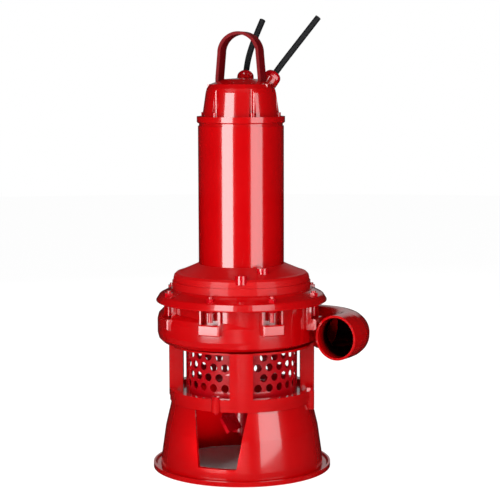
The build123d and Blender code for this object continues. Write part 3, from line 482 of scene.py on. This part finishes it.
# Cables: two stiff rubber-sheathed leads that stand up out of the glands, cut square at the
# end. The thick conductors inside keep them nearly straight. Their routes are in millimetres.
def sheath_rubber(name, colour, roughness):
    rubber = bpy.data.materials.new(name)
    rubber.use_nodes = True
    tree = rubber.node_tree
    skin = tree.nodes["Principled BSDF"]
    skin.inputs["Specular IOR Level"].default_value = 0.35
    where = tree.nodes.new("ShaderNodeTexCoord")
    dust = tree.nodes.new("ShaderNodeTexNoise")
    dust.inputs["Scale"].default_value = 60
    dust.inputs["Detail"].default_value = 6
    tint = tree.nodes.new("ShaderNodeMix")
    tint.data_type = "RGBA"
    tint.inputs["A"].default_value = (*colour, 1)
    tint.inputs["B"].default_value = (*[c * 2.2 for c in colour], 1)
    rough = tree.nodes.new("ShaderNodeMapRange")
    rough.inputs["To Min"].default_value = roughness - 0.08
    rough.inputs["To Max"].default_value = roughness + 0.1
    grain = tree.nodes.new("ShaderNodeTexNoise")
    grain.inputs["Scale"].default_value = 900
    grain.inputs["Detail"].default_value = 3
    relief = tree.nodes.new("ShaderNodeBump")
    relief.inputs["Strength"].default_value = 0.25
    relief.inputs["Distance"].default_value = 0.0004
    tree.links.new(where.outputs["Object"], dust.inputs["Vector"])
    tree.links.new(where.outputs["Object"], grain.inputs["Vector"])
    tree.links.new(dust.outputs["Fac"], tint.inputs["Factor"])
    tree.links.new(dust.outputs["Fac"], rough.inputs["Value"])
    tree.links.new(tint.outputs["Result"], skin.inputs["Base Color"])
    tree.links.new(rough.outputs["Result"], skin.inputs["Roughness"])
    tree.links.new(grain.outputs["Fac"], relief.inputs["Height"])
    tree.links.new(relief.outputs["Normal"], skin.inputs["Normal"])
    return rubber


cable_rubber = sheath_rubber("cable_rubber", (0.004, 0.004, 0.005), roughness=0.6)


def cable(name, route, node):
    line = bpy.data.curves.new(name, "CURVE")
    line.dimensions = "3D"
    line.bevel_depth = 0.008
    line.bevel_resolution = 6
    line.use_fill_caps = True
    line.resolution_u = 16
    run = line.splines.new("NURBS")
    run.points.add(len(route) - 1)
    for point, place in zip(run.points, route):
        point.co = (*[v / 1000 for v in place], 1)
    run.order_u = 3
    run.use_endpoint_u = True
    lead = bpy.data.objects.new(name, line)
    scene.collection.objects.link(lead)
    line.materials.append(cable_rubber)
    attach(lead, "pump")
    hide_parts(node)


power_route = (
    (77.3, 26.7, 999.8), (97.8, 33.8, 1028.5), (131.6, 45.4, 1071.3),
    (165.5, 57.0, 1114.2), (199.3, 68.6, 1157.0),
)
cable("power_lead", power_route, "power_cable")
control_route = (
    (11.4, 81.0, 999.8), (15.1, 107.2, 1035.3), (24.3, 129.8, 1072.7),
    (39.2, 149.2, 1112.4), (57.2, 165.5, 1153.6),
)
cable("control_lead", control_route, "control_cable")

# Rubber seals: the gasket under the casing cover and the two grommets that the gland nuts
# squeeze round the cables, moulded in black rubber.
paint_nodes(cable_rubber, "casing_gasket", "gland_grommets")


# Bare metal: the ground steel of the shaft, its key and the bearings, the dark faces of the
# shaft seal, and the stacked sheets of the motor core. All of it is hidden inside the housing.
def bare_metal(name, colour, roughness, metallic):
    metal = bpy.data.materials.new(name)
    metal.use_nodes = True
    tree = metal.node_tree
    skin = tree.nodes["Principled BSDF"]
    skin.inputs["Metallic"].default_value = metallic
    where = tree.nodes.new("ShaderNodeTexCoord")
    marks = tree.nodes.new("ShaderNodeTexNoise")
    marks.inputs["Scale"].default_value = 180
    marks.inputs["Detail"].default_value = 4
    tint = tree.nodes.new("ShaderNodeMix")
    tint.data_type = "RGBA"
    tint.inputs["A"].default_value = (*[c * 0.85 for c in colour], 1)
    tint.inputs["B"].default_value = (*colour, 1)
    rough = tree.nodes.new("ShaderNodeMapRange")
    rough.inputs["To Min"].default_value = roughness * 0.8
    rough.inputs["To Max"].default_value = roughness * 1.3
    tree.links.new(where.outputs["Object"], marks.inputs["Vector"])
    tree.links.new(marks.outputs["Fac"], tint.inputs["Factor"])
    tree.links.new(marks.outputs["Fac"], rough.inputs["Value"])
    tree.links.new(tint.outputs["Result"], skin.inputs["Base Color"])
    tree.links.new(rough.outputs["Result"], skin.inputs["Roughness"])
    return metal


ground_steel = bare_metal("ground_steel", (0.62, 0.62, 0.64), roughness=0.25, metallic=1)
paint_nodes(ground_steel, "shaft", "impeller_key", "bearing_outer_rings", "bearing_inner_rings",
            "lower_ball_ring", "upper_ball_ring")
dark_carbide = bare_metal("dark_carbide", (0.12, 0.12, 0.13), roughness=0.15, metallic=0.6)
paint_nodes(dark_carbide, "seal_stationary_rings", "seal_rotating_rings")
core_sheets = bare_metal("core_sheets", (0.33, 0.33, 0.35), roughness=0.45, metallic=1)
paint_nodes(core_sheets, "stator", "rotor_core")
